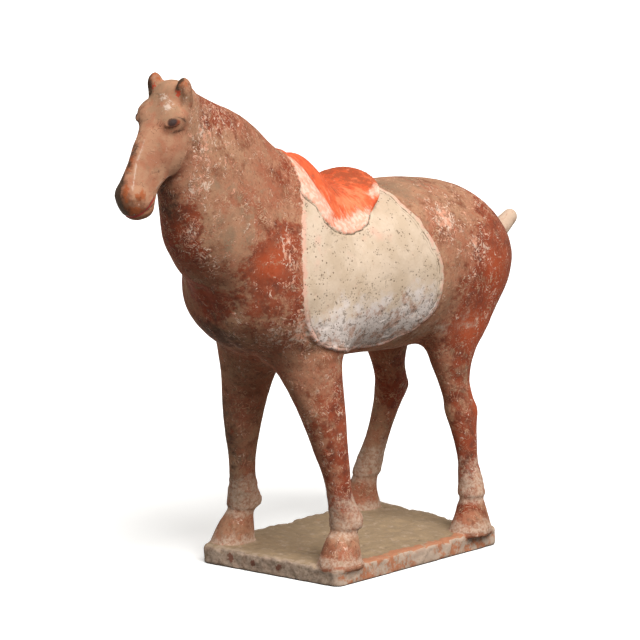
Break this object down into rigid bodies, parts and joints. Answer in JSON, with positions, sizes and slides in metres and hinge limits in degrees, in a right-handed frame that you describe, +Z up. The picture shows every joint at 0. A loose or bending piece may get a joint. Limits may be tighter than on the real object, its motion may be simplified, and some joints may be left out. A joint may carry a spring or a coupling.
{
  "type": "pottery horse figure",
  "caption": "Standing saddled horse figure of fired, painted clay, hooves joined to a thin rectangular slab plinth, with an arched neck, a draped saddlecloth and a docked tail.",
  "frame": {"origin": "centre of the plinth's underside", "axes": "+Z up, the horse faces -Y and its left side is +X"},
  "size_m": [0.1574, 0.4987, 0.4509],
  "materials": {
    "painted_clay": "matt fired earthenware with worn red, ivory and orange cold-painted pigment over slip"
  },
  "bodies": {
    "root": {"pottery_horse": "painted_clay"}
  },
  "joints": []
}
